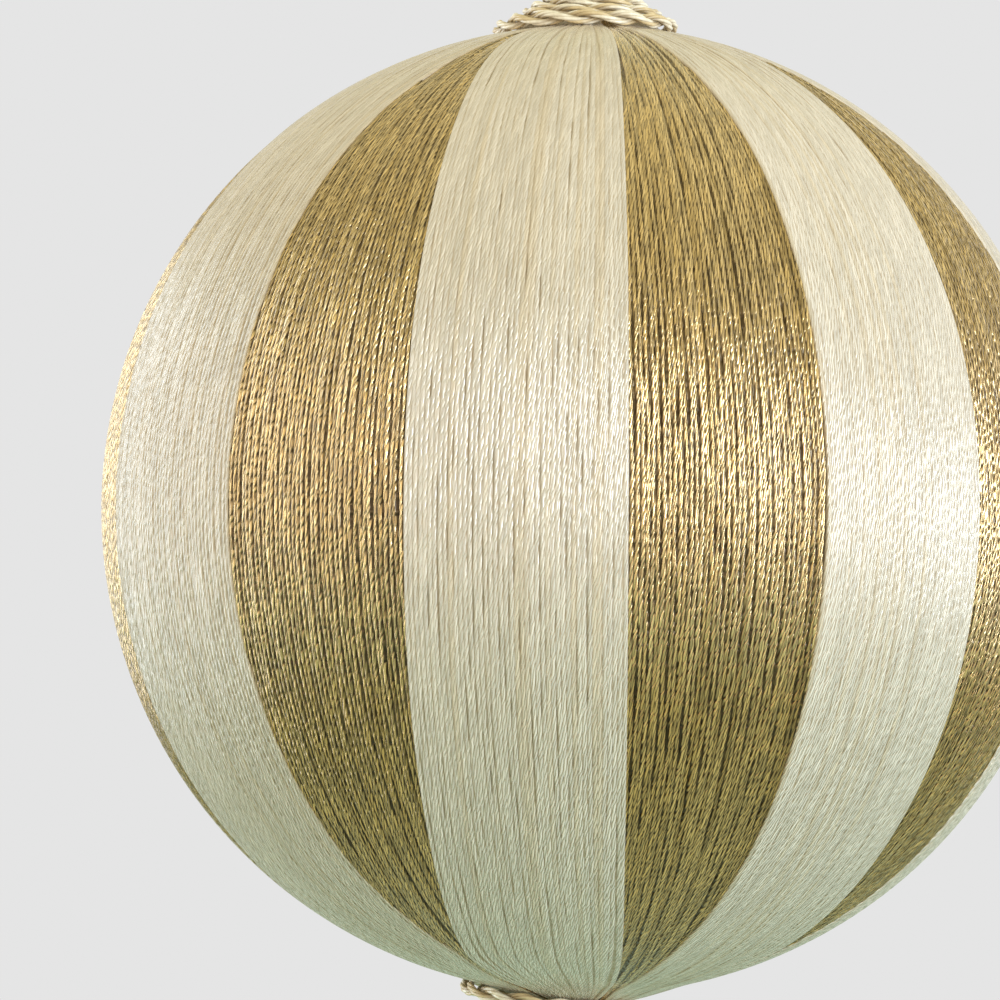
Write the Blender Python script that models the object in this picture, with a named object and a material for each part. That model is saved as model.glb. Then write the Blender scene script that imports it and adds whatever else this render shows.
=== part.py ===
"""Silk bauble: a ball wound from pole to pole with gold and ivory silk, a rope rosette on each pole.

The frame's origin is the hanging point, at the top of the upper rosette. +Z is up and -Y is the front.
Azimuths run from the front towards +X, latitudes from the ball's middle up.
"""

import math

import bmesh
import bpy

# Driving dimensions, in metres

BALL_DIAMETER = 0.080
GOLD_WIDTH = 0.0142  # of a gold band, round the ball's middle
GOLD_TIP_WIDTH = 0.0003  # where the ivory closes over the gold
BAND_CROWN = 0.0002  # how far a band's edges lie below its middle
BAND_GAP = 0.0002  # between neighbouring bands
LAND_RADIUS = 0.0022  # of the flat at each pole, where all the threads cross
CORD_HOLE_RADIUS = 0.0008  # left open down the middle

TOP_PILE_RADIUS = 0.0070  # of the mound that the crossing threads make at a pole
TOP_PILE_HEIGHT = 0.0025
BOTTOM_PILE_RADIUS = 0.0095
BOTTOM_PILE_HEIGHT = 0.0010

ROPE_DIAMETER = 0.00125
ROPE_LAY = 0.0066  # length of one whole twist
ROPE_PLIES = 2
TOP_COIL_RADIUS = 0.0078  # middle of the rope, outermost turn
BOTTOM_COIL_RADIUS = 0.0075
BOTTOM_COIL_OFFSET = 0.0024  # the lower rosette sits a little to -X
COIL_EYE_RADIUS = 0.0009  # middle of the rope, innermost turn
TURN_GAP = 0.00015
ROPE_CLEARANCE = 0.0003  # between rope and silk
TUCKED_LENGTH = 0.0040  # over which the rope's two ends taper
TUCKED_SHARE = 0.35  # of the rope's diameter, at its ends

# Pattern

BAND_PAIRS = 8
FIRST_GOLD_AZIMUTH = math.radians(14.2)
# Each gold band is hand-wound, so its two edges wander: degrees off the even spacing at the middle,
# then how fast the ivory closes over it towards the top and towards the bottom.
GOLD_EDGES = [
    ((0.5, 0.55, 1.0), (2.0, 0.9, 1.1)),
    ((-0.5, 0.9, 2.0), (1.0, 2.3, 2.0)),
    ((0.0, 1.2, 1.8), (0.0, 1.4, 1.6)),
    ((1.0, 1.0, 2.0), (-1.0, 1.5, 2.0)),
    ((-1.0, 1.4, 1.5), (0.5, 1.2, 1.8)),
    ((0.5, 1.6, 2.0), (1.0, 1.2, 2.0)),
    ((0.0, 1.2, 2.0), (-3.5, 2.0, 2.3)),
    ((-1.5, 1.4, 2.1), (1.0, 1.15, 2.0)),
]

# The ivory closes in evenly at first, and then fast near the pole
EVEN_CLOSING = 0.29
LATE_CLOSING_POWER = 8

# Faces

BAND_ROWS = 16  # between the two piles
PILE_ROW_SHARES = (0.70, 0.45)  # of the pile's radius
BAND_COLUMNS = 4
LAY_STEPS = 8  # points along one twist of the rope
TURN_STEPS = 13  # fewest points round one turn
PLY_POINTS = 4  # points round one ply of the rope's section
PLY_DEPTH = 0.22  # of the rope's radius, from its mean to the top of a ply

BALL_RADIUS = BALL_DIAMETER / 2
ROPE_RADIUS = ROPE_DIAMETER / 2
TOP_PILE = (TOP_PILE_RADIUS, TOP_PILE_HEIGHT)
BOTTOM_PILE = (BOTTOM_PILE_RADIUS, BOTTOM_PILE_HEIGHT)

# Colour, roughness and metallic value

MATERIALS = {
    "gold_silk": ((0.42, 0.28, 0.10), 0.38, 0.1),
    "ivory_silk": ((0.76, 0.70, 0.54), 0.42, 0.0),
    "rope": ((0.66, 0.56, 0.36), 0.48, 0.0),
}


def silk_height(radius, pile):
    """Height of the silk above the ball's middle plane, at a distance from its axis."""
    radius = max(radius, LAND_RADIUS)
    sphere = math.sqrt(BALL_RADIUS ** 2 - radius ** 2)
    pile_radius, pile_height = pile
    return sphere + pile_height * max(0.0, 1 - (radius / pile_radius) ** 2) ** 1.5


def silk_slope(radius, pile):
    """How steeply the silk falls away from the axis."""
    step = ROPE_RADIUS / 4
    inner = max(radius - step, 0.0)
    fall = silk_height(inner, pile) - silk_height(radius + step, pile)
    return fall / (radius + step - inner)


def top_of_bauble():
    """Height of the upper rosette's top above the ball's middle."""
    return silk_height(0, TOP_PILE) + ROPE_CLEARANCE + ROPE_DIAMETER


def closing(latitude):
    """How far the ivory has closed in, from 0 at the ball's middle to 1 at a pole."""
    rise = abs(math.sin(latitude))
    return EVEN_CLOSING * rise ** 2 + (1 - EVEN_CLOSING) * rise ** LATE_CLOSING_POWER


def gold_edges(pair, latitude):
    """Azimuths of a gold band's left and right edge."""
    middle = FIRST_GOLD_AZIMUTH + pair * math.tau / BAND_PAIRS
    half = GOLD_WIDTH / BALL_DIAMETER
    sides = []
    for drift, top_rate, bottom_rate in GOLD_EDGES[pair % len(GOLD_EDGES)]:
        rate = top_rate if latitude > 0 else bottom_rate
        sides.append((math.radians(drift), half * (1 - rate * closing(latitude))))
    (left_drift, left), (right_drift, right) = sides
    tip = (GOLD_TIP_WIDTH + BAND_GAP) / (BALL_RADIUS * math.cos(latitude))
    width = max(left + right + right_drift - left_drift, tip)
    middle += (right - left + right_drift + left_drift) / 2
    return middle - width / 2, middle + width / 2


def band_latitudes():
    """Latitudes of a band's rows, from the bottom land to the top one."""
    top, bottom = pile_latitudes(TOP_PILE_RADIUS), pile_latitudes(BOTTOM_PILE_RADIUS)
    low, high = -bottom[0], top[0]
    rows = [low + (high - low) * i / BAND_ROWS for i in range(1, BAND_ROWS)]
    return [-latitude for latitude in reversed(bottom)] + rows + top


def pile_latitudes(pile_radius):
    """Latitudes of the rows on a pile, from its foot to the land on its top."""
    radii = [pile_radius] + [share * pile_radius for share in PILE_ROW_SHARES] + [LAND_RADIUS]
    return [math.acos(radius / BALL_RADIUS) for radius in radii]


def band_mesh(name, edges):
    """One band: its rows of silk, closed by two flat sides that meet near the ball's axis."""
    mesh = bmesh.new()
    rows = []
    tips = []
    for latitude in band_latitudes():
        radius = BALL_RADIUS * math.cos(latitude)
        height = math.copysign(silk_height(radius, TOP_PILE if latitude > 0 else BOTTOM_PILE), latitude)
        left, right = edges(latitude)
        left += BAND_GAP / 2 / radius
        right -= BAND_GAP / 2 / radius
        row = []
        for column in range(BAND_COLUMNS + 1):
            across = 2 * column / BAND_COLUMNS - 1
            azimuth = left + (right - left) * column / BAND_COLUMNS
            shrink = 1 - BAND_CROWN * across ** 4 / BALL_RADIUS
            place = (
                shrink * radius * math.sin(azimuth),
                -shrink * radius * math.cos(azimuth),
                shrink * height,
            )
            row.append(mesh.verts.new(place))
        rows.append(row)
        even = edges.middle
        tip = (CORD_HOLE_RADIUS * math.sin(even), -CORD_HOLE_RADIUS * math.cos(even), row[0].co.z)
        tips.append(mesh.verts.new(tip))
    for i in range(len(rows) - 1):
        low, high = rows[i], rows[i + 1]
        for column in range(BAND_COLUMNS):
            mesh.faces.new((low[column], low[column + 1], high[column + 1], high[column]))
        # Neighbours share these diagonals, so their sides never cross
        mesh.faces.new((tips[i], low[0], high[0]))
        mesh.faces.new((tips[i], high[0], tips[i + 1]))
        mesh.faces.new((tips[i], high[-1], low[-1]))
        mesh.faces.new((tips[i], tips[i + 1], high[-1]))
    for column in range(BAND_COLUMNS):
        mesh.faces.new((tips[-1], rows[-1][column], rows[-1][column + 1]))
        mesh.faces.new((tips[0], rows[0][column + 1], rows[0][column]))
    data = bpy.data.meshes.new(name)
    mesh.to_mesh(data)
    mesh.free()
    data.shade_smooth()
    data.set_sharp_from_angle(angle=math.radians(40))
    return data


class GoldEdges:
    """The two edges of a gold band."""

    def __init__(self, pair):
        self.pair = pair
        self.middle = FIRST_GOLD_AZIMUTH + pair * math.tau / BAND_PAIRS

    def __call__(self, latitude):
        return gold_edges(self.pair, latitude)


class IvoryEdges:
    """The two edges of the ivory band to the right of a gold one."""

    def __init__(self, pair):
        self.pair = pair
        self.middle = FIRST_GOLD_AZIMUTH + (pair + 0.5) * math.tau / BAND_PAIRS

    def __call__(self, latitude):
        left = gold_edges(self.pair, latitude)[1]
        right = gold_edges((self.pair + 1) % BAND_PAIRS, latitude)[0]
        if right < left:
            right += math.tau
        return left, right


def coil_turns(outer_radius, offset, pile):
    """Points of a coil seen from above, from its outer end inwards, about its own middle."""
    points = []
    radius = outer_radius
    azimuth = math.pi
    while radius > COIL_EYE_RADIUS:
        points.append((radius * math.sin(azimuth), -radius * math.cos(azimuth)))
        step = min(ROPE_LAY / LAY_STEPS / radius, math.tau / TURN_STEPS)
        shallow = min(
            silk_slope(abs(radius - offset), pile),
            silk_slope(radius + offset, pile),
        )
        inwards = (ROPE_DIAMETER + TURN_GAP) * math.cos(math.atan(shallow))
        azimuth += step
        radius -= inwards * step / math.tau
    return points


def coil_path(outer_radius, offset, pile):
    """Points of the rope's middle laid on the silk: place, share of full thickness, turn of the twist."""
    flat = coil_turns(outer_radius, offset, pile)
    lengths = [0.0]
    for a, b in zip(flat, flat[1:]):
        lengths.append(lengths[-1] + math.dist(a, b))
    path = []
    for (x, y), length in zip(flat, lengths):
        from_end = min(length, lengths[-1] - length)
        share = min(1.0, TUCKED_SHARE + (1 - TUCKED_SHARE) * from_end / TUCKED_LENGTH)
        radius = math.hypot(x - offset, y)
        tilt = math.atan(silk_slope(radius, pile))
        lift = (ROPE_RADIUS * share + ROPE_CLEARANCE) / math.cos(tilt)
        place = (x - offset, y, silk_height(radius, pile) + lift)
        path.append((place, share, math.tau * length / ROPE_LAY))
    return path


def rope_section():
    """The rope's cross-section, one lobe for each ply, as a closed flat curve."""
    curve = bpy.data.curves.new("rope_section", "CURVE")
    curve.dimensions = "2D"
    curve.fill_mode = "NONE"
    count = ROPE_PLIES * PLY_POINTS
    spline = curve.splines.new("POLY")
    spline.points.add(count - 1)
    spline.use_cyclic_u = True
    for i, point in enumerate(spline.points):
        angle = -math.tau * i / count  # this way round, the tube's faces point out as its caps do
        radius = ROPE_RADIUS * (1 - PLY_DEPTH + PLY_DEPTH * math.cos(ROPE_PLIES * angle))
        point.co = (radius * math.cos(angle), radius * math.sin(angle), 0, 1)
    return curve


def coil_curve(name, path, section, flip):
    """The rope as a tube along its path, mirrored to the ball's underside where flip is -1."""
    curve = bpy.data.curves.new(name, "CURVE")
    curve.dimensions = "3D"
    curve.bevel_mode = "OBJECT"
    curve.bevel_object = section
    curve.use_fill_caps = True
    curve.resolution_u = 1
    curve.render_resolution_u = 0
    spline = curve.splines.new("POLY")
    spline.points.add(len(path) - 1)
    for point, (place, share, twist) in zip(spline.points, path):
        point.co = (place[0], place[1], flip * place[2], 1)
        point.radius = share
        point.tilt = twist
    return curve


def make_material(name):
    """A Principled material from the table above."""
    color, roughness, metallic = MATERIALS[name]
    material = bpy.data.materials.new(name)
    material.use_nodes = True
    shader = material.node_tree.nodes["Principled BSDF"]
    shader.inputs["Base Color"].default_value = (*color, 1)
    shader.inputs["Roughness"].default_value = roughness
    shader.inputs["Metallic"].default_value = metallic
    material.diffuse_color = (*color, 1)
    return material


def new_collection(name):
    """An empty collection in the scene."""
    collection = bpy.data.collections.new(name)
    bpy.context.scene.collection.children.link(collection)
    return collection


def add_part(name, data, material, collection, parent):
    """A named part about the ball's middle, hung from the bauble's origin."""
    part = bpy.data.objects.new(name, data)
    data.materials.append(material)
    collection.objects.link(part)
    part.parent = parent
    part.location = (0, 0, -top_of_bauble())
    return part


def main():
    for old in list(bpy.data.objects):
        bpy.data.objects.remove(old, do_unlink=True)
    parts = new_collection("silk_bauble")
    guides = new_collection("guides")
    origin = bpy.data.objects.new("bauble_origin", None)
    parts.objects.link(origin)

    for pair in range(BAND_PAIRS):
        for kind, edges in (("gold", GoldEdges(pair)), ("ivory", IvoryEdges(pair))):
            name = f"silk_band_{kind}_{pair + 1}"
            material = make_material(f"{kind}_silk")
            add_part(name, band_mesh(name, edges), material, parts, origin)

    section = bpy.data.objects.new("rope_section", rope_section())
    section.hide_render = True
    section.display_type = "WIRE"
    guides.objects.link(section)
    coils = (
        ("top_rope_coil", TOP_COIL_RADIUS, 0.0, TOP_PILE, 1),
        ("bottom_rope_coil", BOTTOM_COIL_RADIUS, BOTTOM_COIL_OFFSET, BOTTOM_PILE, -1),
    )
    for name, radius, offset, pile, flip in coils:
        path = coil_path(radius, offset, pile)
        curve = coil_curve(name, path, section, flip)
        add_part(name, curve, make_material("rope"), parts, origin)


main()
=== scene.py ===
import math

import bpy
import numpy as np
from mathutils import Matrix, Vector


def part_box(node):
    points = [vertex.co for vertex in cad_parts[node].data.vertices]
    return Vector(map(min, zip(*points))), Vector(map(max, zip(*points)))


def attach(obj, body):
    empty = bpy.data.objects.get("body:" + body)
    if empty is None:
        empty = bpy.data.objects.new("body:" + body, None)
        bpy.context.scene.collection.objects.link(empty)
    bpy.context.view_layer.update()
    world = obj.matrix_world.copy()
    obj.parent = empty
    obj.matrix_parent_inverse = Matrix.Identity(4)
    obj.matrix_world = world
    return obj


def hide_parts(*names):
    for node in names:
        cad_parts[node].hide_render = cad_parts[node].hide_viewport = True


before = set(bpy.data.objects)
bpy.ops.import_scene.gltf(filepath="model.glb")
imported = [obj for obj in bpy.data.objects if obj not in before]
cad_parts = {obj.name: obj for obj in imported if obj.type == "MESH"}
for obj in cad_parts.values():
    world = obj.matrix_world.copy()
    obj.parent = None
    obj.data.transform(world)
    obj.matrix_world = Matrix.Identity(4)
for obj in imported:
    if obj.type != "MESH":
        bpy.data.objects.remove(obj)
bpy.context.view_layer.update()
print("frame loaded,", len(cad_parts), "nodes")

mm = 0.001

# The wound ball: same sizes as the frame
ball = {
    "radius": 40 * mm,
    "pairs": 8,                 # gold and ivory bands
    "firstGold": 14.2,          # degrees from the front towards +X
    "goldWidth": 14.2 * mm,
    "tipWidth": 0.5 * mm,
    "landRadius": 2.2 * mm,     # flat at each pole
    "tipBlend": 0.2,            # how softly a gold band narrows to its tip
    "holeRadius": 0.8 * mm,
    "topPile": (7.0 * mm, 2.5 * mm),        # radius and height of the mound of crossing threads
    "bottomPile": (9.5 * mm, 1.0 * mm),
    "moundPower": 1.5,
    "slopeStep": 0.15 * mm,
    "closing": ((2, 0.29), (8, 0.71)),      # powers of the height that narrow a gold band, and shares
    "rows": 144,                # along a band, pole to pole
}

# Degrees off the even spacing, then how fast the ivory closes in towards top and bottom, for each edge
goldEdges = [
    ((0.5, 0.55, 1.0), (2.0, 0.9, 1.1)),
    ((-0.5, 0.9, 2.0), (1.0, 2.3, 2.0)),
    ((0.0, 1.2, 1.8), (0.0, 1.4, 1.6)),
    ((1.0, 1.0, 2.0), (-1.0, 1.5, 2.0)),
    ((-1.0, 1.4, 1.5), (0.5, 1.2, 1.8)),
    ((0.5, 1.6, 2.0), (1.0, 1.2, 2.0)),
    ((0.0, 1.2, 2.0), (-3.5, 2.0, 2.3)),
    ((-1.5, 1.4, 2.1), (1.0, 1.15, 2.0)),
]


def silkHeight(radius, pile):
    radius = np.maximum(radius, ball["landRadius"])
    mound = np.clip(1 - (radius / pile[0]) ** 2, 0, 1) ** ball["moundPower"]
    return np.sqrt(ball["radius"] ** 2 - radius ** 2) + pile[1] * mound


def silkSlope(radius, pile):
    step = ball["slopeStep"]
    inner = max(radius - step, 0)
    return float(silkHeight(inner, pile) - silkHeight(radius + step, pile)) / (radius + step - inner)


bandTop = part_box("silk_band_ivory_1")[1][2]
ballMiddle = bandTop - float(silkHeight(0, ball["topPile"]))


def smooth(low, high, x):
    t = np.clip((x - low) / (high - low), 0, 1)
    return t * t * (3 - 2 * t)


def closingIn(rise):
    return sum(share * rise ** power for power, share in ball["closing"])


def bandMiddle(place):
    # azimuth of a place counted in pairs of bands, in radians round from the front
    return math.radians(ball["firstGold"]) + place * math.tau / ball["pairs"]


def bandEdges(pair, latitude):
    # left and right edge of a gold band, in radians round from the front
    middle = bandMiddle(pair)
    half = ball["goldWidth"] / 2 / ball["radius"]
    rise = np.abs(np.sin(latitude))
    drifts, halves = [], []
    for drift, topRate, bottomRate in goldEdges[pair % len(goldEdges)]:
        rate = np.where(latitude > 0, topRate, bottomRate)
        drifts.append(math.radians(drift))
        halves.append(half * (1 - rate * closingIn(rise)))
    tip = ball["tipWidth"] / (ball["radius"] * np.cos(latitude))
    width = halves[0] + halves[1] + drifts[1] - drifts[0]
    blend = 0.5 * (width + tip + np.sqrt((width - tip) ** 2 + tip ** 2 * ball["tipBlend"]))
    middle = middle + (halves[1] - halves[0] + drifts[0] + drifts[1]) / 2
    return middle - blend / 2, middle + blend / 2


def bandRows():
    # distance from the axis, height and outward normal of each row
    last = math.acos(ball["landRadius"] / ball["radius"])
    latitude = np.linspace(-last, last, ball["rows"])
    radius = ball["radius"] * np.cos(latitude)
    above = silkHeight(radius, ball["topPile"])
    below = silkHeight(radius, ball["bottomPile"])
    height = np.where(latitude > 0, above, -below)
    outR, outZ = np.gradient(height), -np.gradient(radius)
    size = np.hypot(outR, outZ)
    return latitude, radius, height, outR / size, outZ / size


# Node helpers for the silk materials
def addNode(tree, kind, **values):
    node = tree.nodes.new(kind)
    for key, value in values.items():
        setattr(node, key, value)
    return node


def feed(tree, socket, value):
    if isinstance(value, bpy.types.NodeSocket):
        tree.links.new(value, socket)
    else:
        socket.default_value = value


def calc(tree, operation, a, b=0.0, c=0.0):
    node = addNode(tree, "ShaderNodeMath", operation=operation)
    for socket, value in zip(node.inputs, (a, b, c)):
        feed(tree, socket, value)
    return node.outputs[0]


def ramp(tree, value, low, high, start=0.0, end=1.0):
    node = addNode(tree, "ShaderNodeMapRange", interpolation_type="SMOOTHSTEP")
    for socket, given in zip(node.inputs, (value, low, high, start, end)):
        feed(tree, socket, given)
    return node.outputs[0]


def blendColor(tree, share, a, b, mode="MIX"):
    node = addNode(tree, "ShaderNodeMix", data_type="RGBA", blend_type=mode)
    feed(tree, node.inputs["Factor"], share)
    feed(tree, node.inputs[6], (*a, 1) if isinstance(a, tuple) else a)
    feed(tree, node.inputs[7], (*b, 1) if isinstance(b, tuple) else b)
    return node.outputs[2]


def joinVector(tree, x, y, z=0.0):
    node = addNode(tree, "ShaderNodeCombineXYZ")
    for socket, value in zip(node.inputs, (x, y, z)):
        feed(tree, socket, value)
    return node.outputs[0]


def scaled(tree, value, factor):
    return calc(tree, "MULTIPLY", value, factor)


def noiseAlong(tree, along, scale, y, z=0.0):
    # soft noise that changes along a thread, with scale in waves a millimetre
    node = addNode(tree, "ShaderNodeTexNoise")
    feed(tree, node.inputs["Vector"], joinVector(tree, scaled(tree, along, scale), y, z))
    node.inputs["Scale"].default_value = 1.0
    node.inputs["Detail"].default_value = 2.0
    return node.outputs["Fac"]


def threadMaterial(name):
    # the strand map holds two values for each place, and the tone is a random number for each thread
    material = bpy.data.materials.new(name)
    material.use_nodes = True
    tree = material.node_tree
    strandMap = addNode(tree, "ShaderNodeUVMap", uv_map="strand")
    parts = addNode(tree, "ShaderNodeSeparateXYZ")
    tree.links.new(strandMap.outputs[0], parts.inputs[0])
    tone = addNode(tree, "ShaderNodeAttribute", attribute_name="tone").outputs["Fac"]
    return material, tree, tree.nodes["Principled BSDF"], parts.outputs[0], parts.outputs[1], tone


# What both silks share: waves a millimetre of each noise, and the stretches over which each effect grows
silkGrain = {
    "wobbleWaves": 0.65,
    "frayWaves": 1.1,
    "grooveWaves": 0.45,
    "patchWaves": 0.12,
    "threadEdge": 0.97,         # the plies are followed no further out
    "creaseRamp": (0.1, 0.7),
    "edgeEnd": 1.04,
    "grooveRamp": (0.46, 0.58),
    "grooveKept": 0.6,          # share of a groove's painted shade that no calming takes away
    "toneShare": 0.55,          # of the colour's change from thread to thread, the rest is along it
    "dullRamp": (0.2, 0.8),
    "strayRamp": (0.86, 0.9),   # about one thread in eight is a stray
    "lowerShadeRamp": (0.0, -0.3),
    "edgeRoughness": 0.2,
    "coatRoughness": 0.2,
}


def silkMaterial(name, look):
    # across a thread the strand map runs from -1 to 1, and along it in millimetres
    material, tree, shader, across, along, tone = threadMaterial(name)
    calm = addNode(tree, "ShaderNodeAttribute", attribute_name="calm").outputs["Fac"]
    # relief scales the bumps and the painted shade of creases and grooves: less at the top, more below
    # the middle
    relief = calc(tree, "SUBTRACT", 1.0, scaled(tree, calm, look["calming"]))

    # two plies twisted round each other: their crests run up to the right.
    # Each noise takes the thread's tone times a number of its own, so no two threads look alike
    reach = silkGrain["threadEdge"]
    lean = calc(tree, "ARCSINE", calc(tree, "MINIMUM", calc(tree, "MAXIMUM", across, -reach), reach))
    turn = calc(tree, "ADD", scaled(tree, along, math.pi / look["plyStep"]), scaled(tree, tone, 40.0))
    wobble = noiseAlong(tree, along, silkGrain["wobbleWaves"], scaled(tree, tone, 29.0))
    turn = calc(tree, "ADD", turn, scaled(tree, wobble, look["wobble"]))
    phase = calc(tree, "SUBTRACT", turn, scaled(tree, lean, look["plyLean"]))
    ply = calc(tree, "ABSOLUTE", calc(tree, "COSINE", phase))
    # painted shade: the crease between two plies is darkened in the colour
    creaseShade = calc(tree, "SUBTRACT", 1.0, ramp(tree, ply, *silkGrain["creaseRamp"]))
    creaseShadeAmount = calc(tree, "MULTIPLY", scaled(tree, creaseShade, look["creaseShadeShare"]), relief)

    # the groove on either side of a thread wanders, and opens and closes along it; painted shade darkens
    # it in the colour
    side = scaled(tree, calc(tree, "SIGN", across), 3.7)
    fray = noiseAlong(tree, along, silkGrain["frayWaves"], scaled(tree, tone, 53.0), side)
    fray = scaled(tree, calc(tree, "SUBTRACT", fray, 0.5), look["fray"])
    notch = scaled(tree, calc(tree, "SUBTRACT", 1.0, ply), look["notch"])
    outward = calc(tree, "ADD", calc(tree, "ABSOLUTE", across), calc(tree, "ADD", notch, fray))
    edge = ramp(tree, outward, look["crest"], silkGrain["edgeEnd"])
    groove = noiseAlong(tree, along, silkGrain["grooveWaves"], scaled(tree, tone, 97.0), side)
    groove = ramp(tree, groove, *silkGrain["grooveRamp"], look["shallow"], 1.0)
    kept = silkGrain["grooveKept"]
    # sunk: painted shade in the groove between threads
    sunk = calc(tree, "MULTIPLY", scaled(tree, edge, look["valleyShadeShare"]), groove)
    sunk = calc(tree, "MULTIPLY", sunk, calc(tree, "ADD", kept, scaled(tree, relief, 1 - kept)))

    # colour: thread by thread, paler and duller along its length
    patch = noiseAlong(tree, along, silkGrain["patchWaves"], tone, 7.0)
    share = silkGrain["toneShare"]
    share = calc(tree, "ADD", scaled(tree, tone, share), scaled(tree, patch, 1 - share))
    color = blendColor(tree, ramp(tree, share, *silkGrain["dullRamp"]), look["dull"], look["bright"])
    stray = ramp(tree, calc(tree, "FRACT", scaled(tree, tone, 17.3)), *silkGrain["strayRamp"])
    color = blendColor(tree, scaled(tree, stray, look["strayShare"]), color, look["stray"])

    # ply by ply, then by height on the ball with painted shade: spread evenly over the top, and a darker,
    # browner tint on the lower half; then painted shade in creases and between threads
    each = addNode(tree, "ShaderNodeTexWhiteNoise", noise_dimensions="1D")
    count = calc(tree, "FLOOR", calc(tree, "ADD", calc(tree, "DIVIDE", phase, math.pi), 0.5))
    feed(tree, each.inputs["W"], calc(tree, "ADD", count, scaled(tree, tone, 91.7)))
    gray = calc(tree, "ADD", 1 - look["uneven"], scaled(tree, each.outputs["Value"], look["uneven"]))
    color = blendColor(tree, 1.0, color, joinVector(tree, gray, gray, gray), "MULTIPLY")
    # painted shade: the top is evenly darkened with the crease's shade colour as the texture calms
    color = blendColor(tree, scaled(tree, calm, look["topShadeShare"]), color, look["creaseShade"])
    # painted shade: the lower half is tinted darker and browner
    color = blendColor(tree, ramp(tree, calm, *silkGrain["lowerShadeRamp"]), color, look["under"], "MULTIPLY")
    color = blendColor(tree, creaseShadeAmount, color, look["creaseShade"])
    color = blendColor(tree, sunk, color, look["valleyShade"])
    tree.links.new(color, shader.inputs["Base Color"])

    # creases and grooves, painted dark as shade, give back only that painted colour, not the lamps' white
    hollow = calc(tree, "MINIMUM", calc(tree, "MAXIMUM", creaseShadeAmount, sunk), 1.0)
    metallic = calc(tree, "ADD", look["metallic"], scaled(tree, hollow, look["hollowMetallic"]))
    tree.links.new(metallic, shader.inputs["Metallic"])
    rough = calc(tree, "ADD", look["roughness"], scaled(tree, edge, silkGrain["edgeRoughness"]))
    tree.links.new(rough, shader.inputs["Roughness"])
    shader.inputs["IOR"].default_value = look["ior"]
    shader.inputs["Specular IOR Level"].default_value = look["specular"]
    bump = addNode(tree, "ShaderNodeBump")
    bump.inputs["Strength"].default_value = 1.0
    bump.inputs["Distance"].default_value = look["plyDepth"]
    tree.links.new(calc(tree, "MULTIPLY", ply, relief), bump.inputs["Height"])
    tree.links.new(bump.outputs["Normal"], shader.inputs["Normal"])
    tree.links.new(bump.outputs["Normal"], shader.inputs["Coat Normal"])
    shader.inputs["Coat Weight"].default_value = look["coat"]
    shader.inputs["Coat Roughness"].default_value = silkGrain["coatRoughness"]
    return material


def meshPiece(name, points, faces, strandUv, bakeUv, faceValues, material):
    mesh = bpy.data.meshes.new(name)
    mesh.from_pydata(points.tolist(), [], faces)
    for layerName, values in (("OFBake", bakeUv), ("strand", strandUv)):
        layer = mesh.uv_layers.new(name=layerName)
        layer.data.foreach_set("uv", values.astype(np.float32).ravel())
    for valueName, values in faceValues.items():
        attribute = mesh.attributes.new(valueName, "FLOAT", "FACE")
        attribute.data.foreach_set("value", values.astype(np.float32))
    mesh.materials.append(material)
    mesh.shade_smooth()
    piece = bpy.data.objects.new(name, mesh)
    bpy.context.scene.collection.objects.link(piece)
    return piece


# Silk threads of each colour
goldThreads = {
    "count": 38,                # across a band at the ball's middle
    "halfWidth": 0.200 * mm,
    "ridge": 0.18 * mm,
    "lift": -0.20 * mm,         # of the whole band
    "under": 0.40 * mm,         # runs on under the ivory edges
    "hidden": 4,                # threads on each side that start under the ivory edges
    "gathering": 0.12,          # how far the threads follow the band's narrowing
    "crossing": 0.45 * mm,      # how far threads stray sideways by the poles
    "flatter": 0.6,             # how far the threads flatten by the poles
    "uneven": 0.05 * mm,        # how high some threads ride
    "wander": 0.027 * mm,       # sideways, in each wave
    "thinning": 0.20,
}
ivoryThreads = {
    "count": 44,
    "halfWidth": 0.215 * mm,
    "ridge": 0.15 * mm,
    "lift": -0.10 * mm,
    "under": 0.0,
    "crossing": 0.30 * mm,
    "flatter": 0.7,
    "uneven": 0.03 * mm,
    "wander": 0.018 * mm,
    "thinning": 0.10,
}
threadWaves = {
    "turns": (3.1, 7.3, 15.0, 31.0, 57.0),      # radians of each wave for a radian of latitude
    "pace": (0.8, 1.2),         # how that differs from thread to thread
    "thinPace": (4, 9),         # the same for the wave of a thread's width
    "crossPower": 5,            # how late the straying by the poles sets in
    "flatPower": 4,             # how late the flattening sets in
    "diving": (2, 4, 8),        # every second thread dives, then every fourth, then every eighth
    "diveStart": (0.85, 1.15),
    "diveOver": (1.2, 0.8),     # from where to where it goes down
    "diveDepth": 1.3,           # in ridges
}
bandMesh = {
    "seed": 100,
    "perThread": 4,             # columns
    "tuck": 0.02 * mm,          # how far the edge columns turn under
    "sunk": 0.35 * mm,          # how deep they lie
    "between": 0.3,             # depth of the ground between threads, in ridges
    "startSpread": 50,          # millimetres by which the twist of the threads is set apart
    "calmTop": (0.1, 0.85),     # sine of the latitude where the texture, bumps and painted shade alike, calms down
    "livelyBottom": (0.1, 0.7), # and where it livens up, below the middle, with deeper painted shade
    "livelyShare": 0.6,
}
quadCorners = ((0, 0), (0, 1), (1, 1), (1, 0))  # row and column steps round a face
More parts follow.
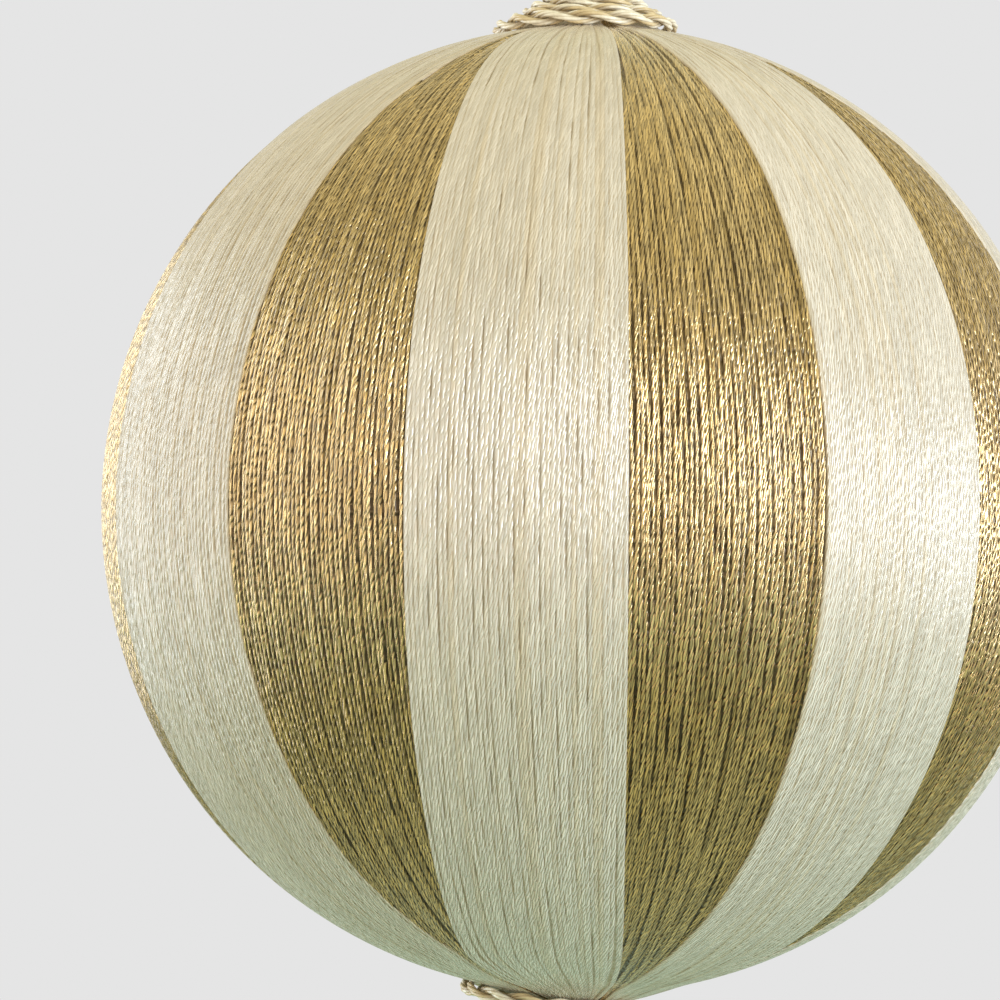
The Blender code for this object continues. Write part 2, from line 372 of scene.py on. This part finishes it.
goldLook = {
    "plyStep": 0.85,            # millimetres from ply to ply along a thread
    "plyLean": 2.4,             # plies crossed over the thread's visible half
    "plyDepth": 0.045 * mm,
    "wobble": 7.0,              # of the twist, in radians
    "crest": 0.52,              # share of the half width where a groove begins
    "notch": 0.35,              # how far creases cut into the thread's edge
    "fray": 0.7,                # how far the grooves wander
    "shallow": 0.85,            # share of a groove's depth where it closes
    "calming": 0.4,             # how far the texture, bumps and painted shade alike, fades towards the top
    "topShadeShare": 0.08,          # painted shade: share of the crease's shade colour spread over the top as the texture calms
    "under": (0.90, 0.77, 0.57),    # painted shade: a darker, browner tint of the lower half, against the floor's greenish light
    "uneven": 0.5,              # ply by ply
    "bright": (0.99, 0.73, 0.36),
    "dull": (0.82, 0.57, 0.23),
    "stray": (0.44, 0.29, 0.08),
    "strayShare": 0.5,
    # painted shade laid in the creases between plies, and how much of it
    "creaseShade": (0.17, 0.095, 0.026),
    "creaseShadeShare": 0.75,
    # painted shade in the grooves between threads, and how much of it
    "valleyShade": (0.05, 0.026, 0.005),
    "valleyShadeShare": 1.0,
    "roughness": 0.20,
    "metallic": 0.75,
    "hollowMetallic": 0.25,
    "coat": 0.8,
    "ior": 1.6,
    "specular": 1.0,
}
ivoryLook = {
    "plyStep": 0.98,
    "plyLean": 2.8,
    "plyDepth": 0.038 * mm,
    "wobble": 7.0,
    "crest": 0.55,
    "notch": 0.28,
    "fray": 0.7,
    "shallow": 0.6,
    "calming": 0.8,
    "topShadeShare": 0.3,
    "under": (1.0, 1.0, 0.99),
    "uneven": 0.25,
    "bright": (0.79, 0.72, 0.635),
    "dull": (0.69, 0.625, 0.54),
    "stray": (0.66, 0.54, 0.38),
    "strayShare": 0.6,
    # painted shade laid in the creases between plies, and how much of it
    "creaseShade": (0.50, 0.415, 0.315),
    "creaseShadeShare": 0.8,
    # painted shade in the grooves between threads, and how much of it
    "valleyShade": (0.44, 0.33, 0.21),
    "valleyShadeShare": 0.8,
    "roughness": 0.25,
    "metallic": 0.0,
    "hollowMetallic": 0.5,
    "coat": 0.0,
    "ior": 1.6,
    "specular": 1.0,
}


def threadPlaces(kind, pair, look, latitude, radius, left, right, rng):
    # azimuth of every thread at every row, and how high it rides
    count = look["count"]
    rise = np.abs(np.sin(latitude))[:, None]
    if kind == "gold":
        extra = look["hidden"]
        order = (np.arange(count + 2 * extra) - extra + 0.5) / count * 2 - 1
        drifts = [math.radians(edge[0]) for edge in goldEdges[pair]]
        middle = bandMiddle(pair) + sum(drifts) / 2
        half = ball["goldWidth"] / 2 / ball["radius"] + (drifts[1] - drifts[0]) / 2
        place = middle + order[None, :] * half * (1 - look["gathering"] * closingIn(rise))
    else:
        inset = look["halfWidth"] / radius
        start, end = (left + inset)[:, None], (right - inset)[:, None]
        place = start + (end - start) * np.linspace(0, 1, count)[None, :]
    threads = place.shape[1]
    angle = latitude[:, None]
    waves = np.zeros((len(latitude), threads))
    for turns in threadWaves["turns"]:
        pace = turns * rng.uniform(*threadWaves["pace"], threads)
        waves += np.sin(angle * pace + rng.uniform(0, math.tau, threads))
    nearPole = rise ** threadWaves["crossPower"]
    stray = rng.uniform(-1, 1, threads) * look["crossing"] * np.sign(angle) * nearPole
    shift = look["wander"] * waves + stray
    rank = rng.permutation(threads) / (threads - 1)

    # threads dive where they crowd
    room = np.abs(np.gradient(place, axis=1)) * radius[:, None] / (2 * look["halfWidth"])
    dive = np.zeros(place.shape)
    early, late = threadWaves["diveOver"]
    for step in threadWaves["diving"]:
        start = rng.uniform(*threadWaves["diveStart"], threads) / step
        chosen = np.arange(threads) % step == step // 2
        dive += np.where(chosen, smooth(start * early, start * late, room), 0)
    if kind == "ivory":
        keep = np.ones(threads)
        keep[[0, -1]] = 0                           # the edge threads run true
        shift = shift * keep
        dive = dive * keep
        rank[[0, -1]] = 1.0
    place = place + shift / radius[:, None]
    ridge = look["ridge"] * (1 - look["flatter"] * rise ** threadWaves["flatPower"])
    ride = rank[None, :] * look["uneven"] - dive * ridge * threadWaves["diveDepth"]
    pace = rng.uniform(*threadWaves["thinPace"], threads)
    thin = 0.5 + 0.5 * np.sin(angle * pace + rng.uniform(0, 6, threads))
    return place, ride, look["halfWidth"] * (1 - look["thinning"] * thin), ridge


def threadRelief(look, azimuth, radius, places, rides, widths, ridges):
    # height of every thread over every point, and how far off its middle the point lies, in half widths
    off = (azimuth[:, :, None] - places[:, None, :]) * radius[:, None, None] / widths[:, None, :]
    crest = np.sqrt(np.clip(1 - off ** 2, 0, 1)) * ridges[:, :, None] + rides[:, None, :]
    ground = -look["ridge"] * bandMesh["between"]
    return np.where(np.abs(off) < 1, crest, ground), off


def betweenRows(values):
    return (values[:-1] + values[1:]) / 2


def bandFaces(rows, columns):
    # the outer face, then two sides that meet at the hole's edge, and a cap at each pole
    index = np.arange(rows * columns).reshape(rows, columns)
    tip = np.arange(rows) + rows * columns
    outer = (index[:-1, :-1], index[:-1, 1:], index[1:, 1:], index[1:, :-1])
    leftSide = (tip[:-1], index[:-1, 0], index[1:, 0], tip[1:])
    rightSide = (tip[:-1], tip[1:], index[1:, -1], index[:-1, -1])
    topCap = (np.full(columns - 1, tip[-1]), index[-1, :-1], index[-1, 1:])
    bottomCap = (np.full(columns - 1, tip[0]), index[0, 1:], index[0, :-1])
    faces = np.stack(outer, axis=-1).reshape(-1, 4).tolist()
    for part in (leftSide, rightSide, topCap, bottomCap):
        faces += np.stack(part, axis=-1).tolist()
    return faces


def bandPiece(kind, pair, look, material):
    rng = np.random.default_rng(bandMesh["seed"] + 10 * pair + (kind == "gold"))
    latitude, radius, height, outR, outZ = bandRows()
    if kind == "gold":
        left, right = bandEdges(pair, latitude)
        middle = bandMiddle(pair)
    else:
        left = bandEdges(pair, latitude)[1]
        right = bandEdges((pair + 1) % ball["pairs"], latitude)[0]
        right = np.where(right < left, right + math.tau, right)
        middle = bandMiddle(pair + 0.5)
    threads = threadPlaces(kind, pair, look, latitude, radius, left, right, rng)
    threadCount = threads[0].shape[1]

    # columns: a few to a thread, and one more beyond each edge that turns under
    over = look["under"] / radius
    first, last = left - over, right + over
    share = np.linspace(0, 1, bandMesh["perThread"] * look["count"] + 1)
    azimuth = first[:, None] + (last - first)[:, None] * share[None, :]
    tuck = bandMesh["tuck"] / radius
    azimuth = np.hstack([(first - tuck)[:, None], azimuth, (last + tuck)[:, None]])
    rows, columns = azimuth.shape

    crest, off = threadRelief(look, azimuth, radius, *threads)
    surface = crest.max(axis=2) + look["lift"]
    surface[:, 0] = surface[:, -1] = -bandMesh["sunk"]
    if kind == "gold":
        surface[:, 1] = np.minimum(surface[:, 1], 0)
        surface[:, -2] = np.minimum(surface[:, -2], 0)
    r = radius[:, None] + outR[:, None] * surface
    z = height[:, None] + outZ[:, None] * surface
    grid = np.stack([r * np.sin(azimuth), -r * np.cos(azimuth), z], axis=-1).reshape(-1, 3)
    tips = np.stack([
        np.full(rows, ball["holeRadius"] * math.sin(middle)),
        np.full(rows, -ball["holeRadius"] * math.cos(middle)),
        height,
    ], axis=-1)
    points = np.vstack([grid, tips])
    points[:, 2] += ballMiddle

    # which thread each face lies on, and each corner's place on it
    midAzimuth = (azimuth[:-1, :-1] + azimuth[:-1, 1:] + azimuth[1:, 1:] + azimuth[1:, :-1]) / 4
    midThreads = [betweenRows(values) for values in threads]
    midCrest = threadRelief(look, midAzimuth, betweenRows(radius), *midThreads)[0]
    owner = midCrest.argmax(axis=2)
    start = rng.uniform(0, bandMesh["startSpread"], threadCount)
    along = latitude * ball["radius"] / mm
    corners = []
    for di, dj in quadCorners:
        i = np.arange(rows - 1)[:, None] + di
        j = np.arange(columns - 1)[None, :] + dj
        across = np.clip(off[i, j, owner], -1, 1)
        lengths = np.broadcast_to(along[i], across.shape) + start[owner]
        corners.append(np.stack([across, lengths], axis=-1))
    outerUv = np.stack(corners, axis=2).reshape(-1, 2)
    hiddenCorners = 4 * 2 * (rows - 1) + 3 * 2 * (columns - 1)
    strandUv = np.vstack([outerUv, np.tile([1.0, 0.0], (hiddenCorners, 1))])
    tones = rng.uniform(0, 1, threadCount)[owner].reshape(-1)
    level = np.sin(betweenRows(latitude))
    lively = bandMesh["livelyShare"] * smooth(*bandMesh["livelyBottom"], -level)
    calms = np.repeat(smooth(*bandMesh["calmTop"], level) - lively, columns - 1)
    hiddenFaces = np.zeros(2 * (rows - 1) + 2 * (columns - 1))
    faceValues = {
        "tone": np.concatenate([tones, hiddenFaces]),
        "calm": np.concatenate([calms, hiddenFaces]),
    }

    faces, bakeUv = bandFaces(rows, columns), bandBakeMap(rows, columns)
    piece = meshPiece(f"{kind}Band{pair + 1}", points, faces, strandUv, bakeUv, faceValues, material)
    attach(piece, "root")
    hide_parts(f"silk_band_{kind}_{pair + 1}")
    return piece


# Where the bake map holds the faces that aren't on a band's outside: strips below it, low and high edge
bandMap = {
    "floor": 0.04,
    "leftSide": (0.002, 0.010),
    "rightSide": (0.012, 0.020),
    "topCap": (0.022, 0.028),
    "bottomCap": (0.030, 0.036),
    "filled": 0.9,              # of each face's share of a strip
}


def gridMap(rows, columns, left, bottom, width, height):
    # the map's corners for a grid of four-sided faces
    column, row = np.meshgrid(np.arange(columns - 1), np.arange(rows - 1))
    corners = []
    for di, dj in quadCorners:
        u = left + width * (column + dj) / (columns - 1)
        v = bottom + height * (row + di) / (rows - 1)
        corners.append(np.stack([u, v], axis=-1))
    return np.stack(corners, axis=2).reshape(-1, 2)


def stripMap(count, corners):
    # a row of small faces, each with its corners at its start or end and at a height
    start = np.arange(count) / count
    end = start + bandMap["filled"] / count
    spots = [np.stack([end if atEnd else start, np.full(count, height)], -1) for atEnd, height in corners]
    return np.stack(spots, axis=1).reshape(-1, 2)


def bandBakeMap(rows, columns):
    floor = bandMap["floor"]
    parts = [gridMap(rows, columns, 0, floor, 1, 1 - floor)]
    low, high = bandMap["leftSide"]
    parts.append(stripMap(rows - 1, ((False, low), (False, high), (True, high), (True, low))))
    low, high = bandMap["rightSide"]
    parts.append(stripMap(rows - 1, ((False, low), (True, low), (True, high), (False, high))))
    for low, high in (bandMap["topCap"], bandMap["bottomCap"]):
        parts.append(stripMap(columns - 1, ((False, low), (True, low), (True, high))))
    return np.vstack(parts)


goldSilk = silkMaterial("goldSilk", goldLook)
ivorySilk = silkMaterial("ivorySilk", ivoryLook)
for pair in range(ball["pairs"]):
    bandPiece("gold", pair, goldThreads, goldSilk)
    bandPiece("ivory", pair, ivoryThreads, ivorySilk)
print("silk bands made")


# The twisted rope of the two rosettes: two plies, each of four strands
rope = {
    "radius": 0.625 * mm,
    "lay": 6.6 * mm,            # one whole twist
    "plies": 2,
    "plyRadius": 0.315 * mm,
    "plyDepth": 0.7,            # share of the rope's radius at which the painted shade in the groove between plies is darkest
    "strands": 4,               # in a ply
    "strandRadius": 0.162 * mm,
    "strandDepth": 0.55,        # the same between strands, of the ply's radius
    "strandLay": 3.1 * mm,      # the ply's own twist, the other way round
    "clearance": 0.03 * mm,     # over the silk
    "turnGap": 0.15 * mm,       # between turns of the coil
    "eye": 0.9 * mm,            # radius of the opening in the coil's middle
    "tucked": 4.0 * mm,         # length at each end over which the rope thins
    "tuckedShare": 0.35,
    "step": 0.22 * mm,          # from ring to ring
    "around": 8,                # points round a strand
    "gilt": ((0, 0, 0, 1), (0, 1, 1, 0)),   # gold strands of each ply
    "toneSpread": 0.2,          # of the strands' shades
}
# A strand's place on the bake map: a column of the square, and a round spot for each end below it
ropeMap = {
    "filled": 0.94,             # of a strand's share of the width
    "floor": 0.02,
    "endSpots": (0.03, 0.08),
    "endHeight": 0.008,
    "endRadius": 0.005,
}
coils = {
    "top_rope_coil": {
        "radius": 7.8 * mm,
        "offset": 0.0,
        "pile": ball["topPile"],
        "side": 1,
        "shadeGilding": 0.0,
    },
    "bottom_rope_coil": {
        "radius": 7.5 * mm,
        "offset": 2.4 * mm,
        "pile": ball["bottomPile"],
        "side": -1,
        "shadeGilding": 0.5,         # its strands are mostly gold, browner than the top one's, standing for the shade under the ball: painted shade
    },
}
ropeLook = {
    "ivory": (0.84, 0.78, 0.65),
    "gold": (0.66, 0.53, 0.32),
    "giltRamp": (0.4, 0.75),    # from ivory to gold
    "patchWaves": 0.45,         # a millimetre, of the change between them along a strand
    "patchMiddle": 0.55,
    "patchReach": 2.2,
    "fineWaves": 2.0,           # a millimetre, of the small changes of tint
    "fineRamp": (0.3, 0.7),
    "fineTint": (0.6, 0.52, 0.36),
    "fineShare": 0.35,
    # painted shade in the grooves between strands and between plies
    "valleyShade": (0.30, 0.21, 0.10),
    "valleyShadeShare": 0.7,
    "depthRamp": (0.2, 0.9),
    "roughness": 0.3,
}


def coilPath(coil):
    flat, radius, azimuth = [], coil["radius"], math.pi
    while radius > rope["eye"]:
        flat.append((radius * math.sin(azimuth), -radius * math.cos(azimuth)))
        step = rope["step"] / radius
        slope = min(silkSlope(abs(radius - coil["offset"]), coil["pile"]),
                    silkSlope(radius + coil["offset"], coil["pile"]))
        azimuth += step
        pitch = (2 * rope["radius"] + rope["turnGap"]) * math.cos(math.atan(slope))
        radius -= pitch * step / math.tau
    flat = np.array(flat)
    length = np.concatenate([[0], np.cumsum(np.linalg.norm(np.diff(flat, axis=0), axis=1))])
    fromEnd = np.minimum(length, length[-1] - length)
    thin = rope["tuckedShare"]
    share = np.minimum(1, thin + (1 - thin) * fromEnd / rope["tucked"])
    path, normals = [], []
    for (x, y), part in zip(flat, share):
        x -= coil["offset"]
        out = math.hypot(x, y)
        tilt = math.atan(silkSlope(out, coil["pile"]))
        lift = (rope["radius"] * part + rope["clearance"]) / math.cos(tilt)
        path.append((x, y, float(silkHeight(out, coil["pile"])) + lift))
        reach = max(out, 0.001 * mm)
        normals.append((math.sin(tilt) * x / reach, math.sin(tilt) * y / reach, math.cos(tilt)))
    return np.array(path), np.array(normals), length, share


def strandBakeMap(number, strandCount, rings):
    left, width = number / strandCount, ropeMap["filled"] / strandCount
    floor, around = ropeMap["floor"], rope["around"]
    parts = [gridMap(rings, around + 1, left, floor, width, 1 - floor)]
    theta = np.arange(around) * math.tau / around
    for spot in ropeMap["endSpots"]:
        u = left + spot + ropeMap["endRadius"] * np.cos(theta)
        v = ropeMap["endHeight"] + ropeMap["endRadius"] * np.sin(theta)
        parts.append(np.stack([u, v], axis=-1))
    return np.vstack(parts)


def ropePiece(name, coil, material):
    path, normals, length, share = coilPath(coil)
    path[:, 2] *= coil["side"]
    normals[:, 2] *= coil["side"]
    along = np.gradient(path, axis=0)
    along /= np.linalg.norm(along, axis=1)[:, None]
    up = normals - (normals * along).sum(axis=1)[:, None] * along
    up /= np.linalg.norm(up, axis=1)[:, None]
    side = np.cross(along, up)
    rings, around = len(path), rope["around"]
    theta = np.broadcast_to(np.arange(around) * math.tau / around, (rings, around))

    def outwards(angle):
        # direction across the rope, for one angle a ring or one a point
        sideways = np.sin(angle)[..., None] * (side if angle.ndim == 1 else side[:, None, :])
        return np.cos(angle)[..., None] * (up if angle.ndim == 1 else up[:, None, :]) + sideways

    points, faces, strandUv, bakeUv, tones = [], [], [], [], []
    tubes = [(ply, strand) for ply in range(rope["plies"]) for strand in range(rope["strands"])]
    for number, (ply, strand) in enumerate(tubes):
        plyAngle = math.tau * (length / rope["lay"] + ply / rope["plies"])
        angle = plyAngle - math.tau * (length / rope["strandLay"] + strand / rope["strands"])
        plyOff = outwards(plyAngle) * (rope["radius"] - rope["plyRadius"])
        strandOff = outwards(angle) * (rope["plyRadius"] - rope["strandRadius"])
        inPly = strandOff[:, None, :] + rope["strandRadius"] * outwards(theta)
        inRope = inPly + plyOff[:, None, :]
        points.append((path[:, None, :] + inRope * share[:, None, None]).reshape(-1, 3))

        # how deep each point lies between strands and between plies, 0 to 1
        betweenStrands = 1 - np.linalg.norm(inPly, axis=2) / rope["plyRadius"]
        betweenPlies = 1 - np.linalg.norm(inRope, axis=2) / rope["radius"]
        depth = np.maximum(betweenStrands / rope["strandDepth"], betweenPlies / rope["plyDepth"])
        depth = np.clip(depth, 0, 1).reshape(-1)
        index = np.arange(rings * around).reshape(rings, around)
        following = np.roll(index, -1, axis=1)
        corners = np.stack([index[:-1], following[:-1], following[1:], index[1:]], axis=-1)
        corners = corners.reshape(-1, 4)
        lengths = np.repeat(length / mm, around)
        strandUv.append(np.stack([depth[corners], lengths[corners]], axis=-1).reshape(-1, 2))
        strandUv.append(np.tile([1.0, 0.0], (2 * around, 1)))
        base = number * rings * around
        faces += (corners + base).tolist()
        faces.append((index[0][::-1] + base).tolist())
        faces.append((index[-1] + base).tolist())
        # the bottom rosette's extra gold is painted shade, a browner look for its place under the ball
        gilt = rope["gilt"][ply][strand] + coil["shadeGilding"]
        tones.append(np.full(len(corners) + 2, gilt + rope["toneSpread"] * number / len(tubes)))
        bakeUv.append(strandBakeMap(number, len(tubes), rings))
    points = np.vstack(points)
    points[:, 2] += ballMiddle
    faceValues = {"tone": np.concatenate(tones)}
    strandUv, bakeUv = np.vstack(strandUv), np.vstack(bakeUv)
    piece = meshPiece(name, points, faces, strandUv, bakeUv, faceValues, material)
    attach(piece, "root")
    return piece


def ropeMaterial(name, look):
    # the strand map holds here how deep a place lies, 0 to 1, and millimetres along the rope
    material, tree, shader, deep, along, tone = threadMaterial(name)
    fine = noiseAlong(tree, along, look["fineWaves"], scaled(tree, tone, 31.0))
    patch = noiseAlong(tree, along, look["patchWaves"], scaled(tree, tone, 13.0))
    patch = scaled(tree, calc(tree, "SUBTRACT", patch, look["patchMiddle"]), look["patchReach"])
    gilt = calc(tree, "ADD", tone, patch)
    color = blendColor(tree, ramp(tree, gilt, *look["giltRamp"]), look["ivory"], look["gold"])
    tint = blendColor(tree, ramp(tree, fine, *look["fineRamp"]), look["fineTint"], (1.0, 1.0, 1.0))
    color = blendColor(tree, look["fineShare"], color, tint, "MULTIPLY")
    # painted shade, darkest deep between strands and between plies
    shade = scaled(tree, ramp(tree, deep, *look["depthRamp"]), look["valleyShadeShare"])
    color = blendColor(tree, shade, color, look["valleyShade"])
    tree.links.new(color, shader.inputs["Base Color"])
    shader.inputs["Roughness"].default_value = look["roughness"]
    return material


ropeSilk = ropeMaterial("ropeSilk", ropeLook)
for nodeName, coil in coils.items():
    pieceName = "topRosette" if coil["side"] > 0 else "bottomRosette"
    piece = ropePiece(pieceName, coil, ropeSilk)
    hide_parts(nodeName)
print("rope rosettes made")


# Pale round backdrop that curves down into the floor
stageSet = {
    "wallRadius": 1.6,
    "coveRadius": 0.5,
    "floorDrop": 0.6,           # below the ball's middle
    "wallTop": 1.4,
    "coveSteps": 12,
    "around": 96,
    "wall": (0.783, 0.783, 0.783),
    "front": (1.25, 1.09, 0.865),   # of the wall behind the camera
    "frontReach": (-0.2, 0.7),  # from where to where it turns into the other, in wall radii
    "floor": (0.47, 0.63, 0.45),
    "floorReach": (0.08, 0.30), # height over which it turns into the wall's colour
}


def backdrop():
    low = ballMiddle - stageSet["floorDrop"]
    wall, cove = stageSet["wallRadius"], stageSet["coveRadius"]
    profile = [(0.0, low), (wall - cove, low)]
    for k in range(1, stageSet["coveSteps"] + 1):
        angle = math.pi / 2 * k / stageSet["coveSteps"]
        profile.append((wall - cove + cove * math.sin(angle), low + cove * (1 - math.cos(angle))))
    profile.append((wall, low + stageSet["wallTop"]))
    points = [(x, 0, z) for x, z in profile]
    edges = [(i, i + 1) for i in range(len(profile) - 1)]
    mesh = bpy.data.meshes.new("backdrop")
    mesh.from_pydata(points, edges, [])
    stage = bpy.data.objects.new("backdrop", mesh)
    bpy.context.scene.collection.objects.link(stage)
    screw = stage.modifiers.new("turned", "SCREW")
    screw.steps = screw.render_steps = stageSet["around"]
    screw.use_merge_vertices = True
    screw.merge_threshold = 0.0001
    material = bpy.data.materials.new("paleBackdrop")
    material.use_nodes = True
    tree = material.node_tree
    tree.nodes.remove(tree.nodes["Principled BSDF"])
    place = addNode(tree, "ShaderNodeNewGeometry").outputs["Position"]
    parts = addNode(tree, "ShaderNodeSeparateXYZ")
    tree.links.new(place, parts.inputs[0])
    share = ramp(tree, parts.outputs[2], *(low + height for height in stageSet["floorReach"]))
    behind = ramp(tree, parts.outputs[1], *(wall * reach for reach in stageSet["frontReach"]))
    glow = addNode(tree, "ShaderNodeEmission")
    color = blendColor(tree, behind, stageSet["front"], stageSet["wall"])
    tree.links.new(blendColor(tree, share, stageSet["floor"], color), glow.inputs["Color"])
    tree.links.new(glow.outputs[0], tree.nodes["Material Output"].inputs["Surface"])
    material.cycles.emission_sampling = "NONE"
    stage.data.materials.append(material)


backdrop()
print("stage made")

# Lights: azimuth and elevation round the ball, distance and size in metres
lights = {
    "key": {
        "azimuth": 52, "elevation": 6, "distance": 0.9,
        "size": (0.38, 0.50), "power": 7.6, "color": (0.68, 0.82, 0.96),
    },
    "fill": {
        "azimuth": -78, "elevation": 14, "distance": 0.9,
        "size": (0.3, 0.8), "power": 1.3, "color": (0.72, 0.88, 1.0),
    },
    "rim": {
        "azimuth": -115, "elevation": 4, "distance": 0.9,
        "size": (0.6, 0.9), "power": 5.4, "color": (0.80, 0.90, 1.0),
    },
}
roomLight = {"color": (0.77, 0.73, 0.46), "strength": 1.0}


def direction(azimuth, elevation):
    # from the ball, for degrees round from the front and up
    azimuth, elevation = math.radians(azimuth), math.radians(elevation)
    level = math.cos(elevation)
    return Vector((math.sin(azimuth) * level, -math.cos(azimuth) * level, math.sin(elevation)))


def addLights():
    for name, light in lights.items():
        data = bpy.data.lights.new(name, "AREA")
        data.shape = "RECTANGLE"
        data.size, data.size_y = light["size"]
        data.energy = light["power"]
        data.color = light["color"]
        lamp = bpy.data.objects.new(name, data)
        bpy.context.scene.collection.objects.link(lamp)
        out = direction(light["azimuth"], light["elevation"])
        lamp.location = Vector((0, 0, ballMiddle)) + out * light["distance"]
        lamp.rotation_euler = out.to_track_quat("Z", "Y").to_euler()
    world = bpy.data.worlds.new("studio")
    bpy.context.scene.world = world
    world.use_nodes = True
    sky = world.node_tree.nodes["Background"]
    sky.inputs["Color"].default_value = (*roomLight["color"], 1)
    sky.inputs["Strength"].default_value = roomLight["strength"]


addLights()

# Camera: pixels are of the 1000 x 1000 picture
view = {
    "pixels": 1000,
    "ballX": 585.8,
    "ballY": 509.7,
    "ballPixels": 485.3,        # the ball's outline, from its middle
    "distance": 0.320,
    "below": 1.08,              # degrees under the ball's level
    "lean": 0.4,                # degrees that the ball's axis leans to the right
    "sensor": 36.0,
    "nearest": 0.01,            # metres from the camera that it still shows
}


def addCamera():
    spread = view["distance"] / ball["radius"]
    focal = view["ballPixels"] * math.sqrt(spread ** 2 - 1)
    data = bpy.data.cameras.new("camera")
    data.sensor_width = view["sensor"]
    data.lens = view["sensor"] * focal / view["pixels"]
    data.clip_start = view["nearest"]
    camera = bpy.data.objects.new("camera", data)
    bpy.context.scene.collection.objects.link(camera)
    below = math.radians(view["below"])
    middle = Vector((0, 0, ballMiddle))
    place = middle + view["distance"] * Vector((0, -math.cos(below), -math.sin(below)))
    aim = (middle - place).to_track_quat("-Z", "Y").to_matrix().to_4x4()
    half = view["pixels"] / 2
    turned = (
        aim
        @ Matrix.Rotation(math.radians(view["lean"]), 4, "Z")
        @ Matrix.Rotation(math.atan((view["ballX"] - half) / focal), 4, "Y")
        @ Matrix.Rotation(math.atan((view["ballY"] - half) / focal), 4, "X")
    )
    camera.matrix_world = Matrix.Translation(place) @ turned
    bpy.context.scene.camera = camera


addCamera()
bpy.context.scene.view_settings.view_transform = "Standard"
print("lights and camera set")
